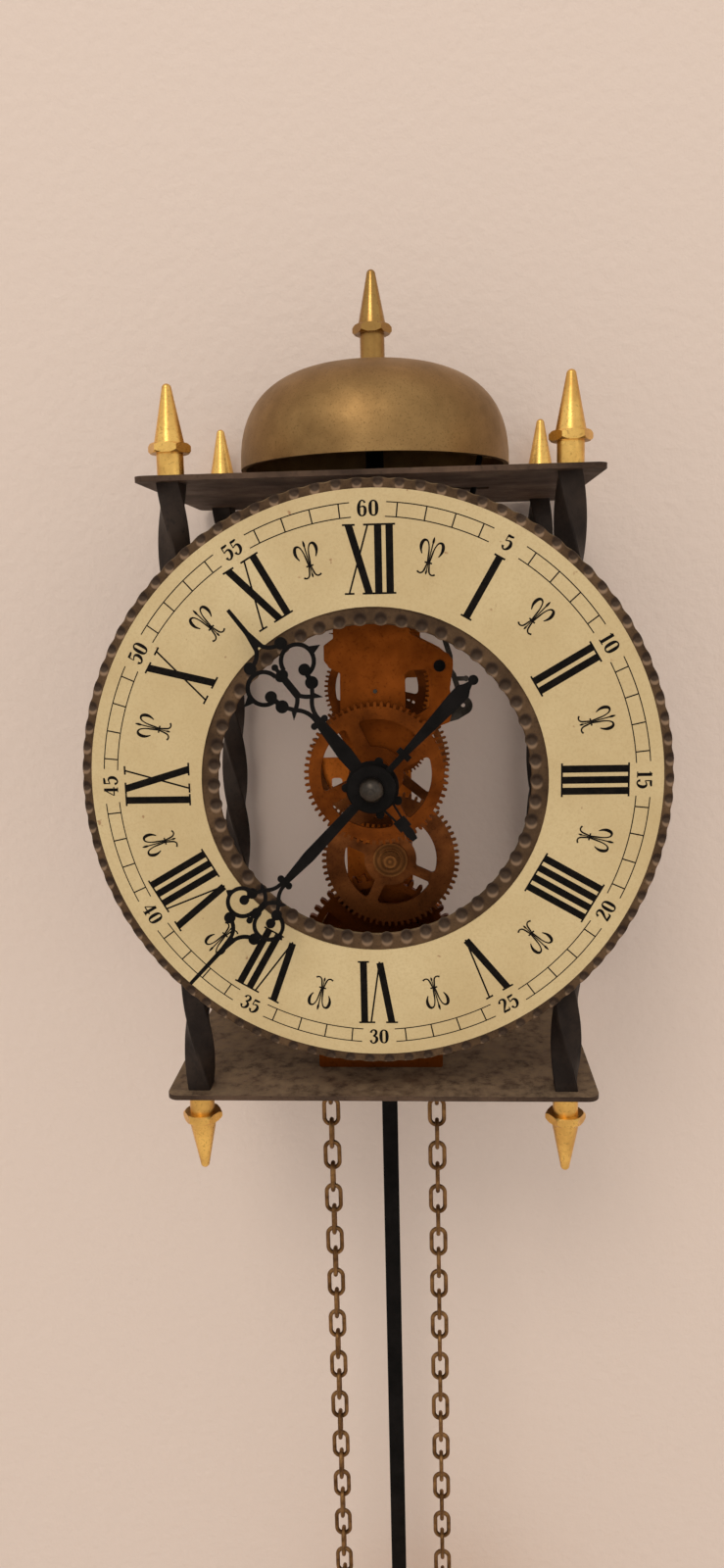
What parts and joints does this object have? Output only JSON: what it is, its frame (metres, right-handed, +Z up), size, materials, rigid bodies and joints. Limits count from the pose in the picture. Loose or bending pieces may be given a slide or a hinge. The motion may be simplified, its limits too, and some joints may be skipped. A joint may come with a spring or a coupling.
{
  "type": "wall clock",
  "caption": "Skeleton wall clock: open iron case with twisted pillars, ring dial, exposed brass movement, bell on top, chain, weight and pendulum.",
  "frame": {"origin": "middle of the round eye in the wall hanger, where the wall hook carries the clock", "axes": "+X to the right seen from the front, +Y back into the wall along the eye, +Z up"},
  "size_m": [0.1692, 0.1146, 0.5833],
  "materials": {
    "black_iron": "satin",
    "bright_brass": "polished",
    "bell_brass": "satin",
    "dial_iron": "hammered satin",
    "ivory_dial": "satin",
    "movement_brass": "satin",
    "wheel_brass": "satin",
    "dark_wheel": "satin",
    "steel": "brushed",
    "black_steel": "blackened",
    "chain_brass": "aged",
    "lead": "dull"
  },
  "bodies": {
    "case": {"top_plate": "black_iron", "bottom_plate": "black_iron", "front_pillars": "black_iron", "rear_pillars": "black_iron", "finials": "bright_brass", "bell": "bell_brass", "bell_post": "steel", "dial_ring": "dial_iron", "chapter_ring": "ivory_dial", "dial_studs": "steel", "wall_hanger": "black_iron", "wall_spacers": "black_iron", "front_plate": "movement_brass", "back_plate": "movement_brass", "lower_bridge": "movement_brass", "movement_pillars": "movement_brass", "movement_brackets": "movement_brass", "screw_heads": "black_steel", "intermediate_stud": "steel", "retaining_clip": "black_steel", "suspension_post": "movement_brass", "chain": "chain_brass"},
    "minute": {"centre_arbor": "bell_brass", "centre_wheel": "dark_wheel", "centre_pinion": "wheel_brass", "cannon_pinion": "movement_brass", "minute_hand": "black_steel", "hand_disc": "black_steel", "hand_nut": "steel"},
    "hour": {"hour_wheel": "wheel_brass", "dial_wheel": "wheel_brass", "hour_hand": "black_steel"},
    "minute_wheel": {"minute_wheel": "wheel_brass"},
    "intermediate": {"intermediate_wheel": "dark_wheel", "intermediate_pinion": "movement_brass"},
    "great": {"great_wheel": "wheel_brass", "great_arbor": "steel", "chain_wheel": "wheel_brass", "ratchet_wheel": "steel", "click": "steel", "click_spring": "steel"},
    "third": {"third_wheel": "wheel_brass", "third_pinion": "steel"},
    "escape": {"escape_wheel": "wheel_brass", "escape_pinion": "steel"},
    "anchor": {"anchor": "steel", "anchor_arbor": "steel", "crutch": "movement_brass"},
    "pendulum": {"suspension_spring": "steel", "pendulum_rod": "black_steel", "pendulum_bob": "bright_brass", "rating_nut": "bright_brass"},
    "hammer": {"hammer_arbor": "steel", "lifting_lever": "steel", "hammer_rod": "steel", "hammer_head": "bright_brass"},
    "weight": {"weight_hook": "bright_brass", "weight_shell": "bright_brass", "weight_filling": "lead"},
    "pull_ring": {"pull_ring": "chain_brass"}
  },
  "joints": [
    {"name": "minute_turn", "type": "hinge", "parent": "case", "child": "minute", "pos_m": [0, -0.07175, -0.074], "axis": [0, 1, 0], "continuous": true},
    {"name": "hour_turn", "type": "hinge", "parent": "case", "child": "hour", "pos_m": [0, -0.07575, -0.074], "axis": [0, 1, 0], "continuous": true},
    {"name": "minute_wheel_turn", "type": "hinge", "parent": "case", "child": "minute_wheel", "pos_m": [0.00735, -0.07475, -0.06783], "axis": [0, 1, 0], "continuous": true},
    {"name": "intermediate_turn", "type": "hinge", "parent": "case", "child": "intermediate", "pos_m": [0.0033, -0.06775, -0.10325], "axis": [0, 1, 0], "continuous": true},
    {"name": "great_turn", "type": "hinge", "parent": "case", "child": "great", "pos_m": [-0.001, -0.06175, -0.13395], "axis": [0, 1, 0], "continuous": true},
    {"name": "third_turn", "type": "hinge", "parent": "case", "child": "third", "pos_m": [0, -0.06775, -0.04958], "axis": [0, 1, 0], "continuous": true},
    {"name": "escape_turn", "type": "hinge", "parent": "case", "child": "escape", "pos_m": [-0.003, -0.06275, -0.03232], "axis": [0, 1, 0], "continuous": true},
    {"name": "pendulum_swing", "type": "hinge", "parent": "case", "child": "pendulum", "pos_m": [0, -0.03075, -0.0159], "axis": [0, 1, 0], "range_deg": [-2.5, 2.5]},
    {"name": "anchor_rock", "type": "hinge", "parent": "case", "child": "anchor", "pos_m": [0, -0.05775, -0.0159], "axis": [0, 1, 0], "range_deg": [-2.5, 2.5]},
    {"name": "hammer_lift", "type": "hinge", "parent": "case", "child": "hammer", "pos_m": [0.023, -0.05175, -0.0265], "axis": [0, -1, 0], "range_deg": [0, 8]},
    {"name": "weight_swing", "type": "hinge", "parent": "case", "child": "weight", "pos_m": [0.01698, -0.05675, -0.3987], "axis": [0, 1, 0], "range_deg": [-10, 10]},
    {"name": "pull_ring_swing", "type": "hinge", "parent": "case", "child": "pull_ring", "pos_m": [-0.01898, -0.05675, -0.3987], "axis": [0, 1, 0], "range_deg": [-25, 25]}
  ],
  "couplings": [
    {"joint": "hour_turn", "follows": "minute_turn", "ratio": 0.083333},
    {"joint": "minute_wheel_turn", "follows": "minute_turn", "ratio": -0.33333},
    {"joint": "intermediate_turn", "follows": "minute_turn", "ratio": -0.39394},
    {"joint": "great_turn", "follows": "minute_turn", "ratio": 0.1149},
    {"joint": "third_turn", "follows": "minute_turn", "ratio": -9.5},
    {"joint": "escape_turn", "follows": "minute_turn", "ratio": 89.571},
    {"joint": "anchor_rock", "follows": "pendulum_swing", "ratio": 1}
  ]
}
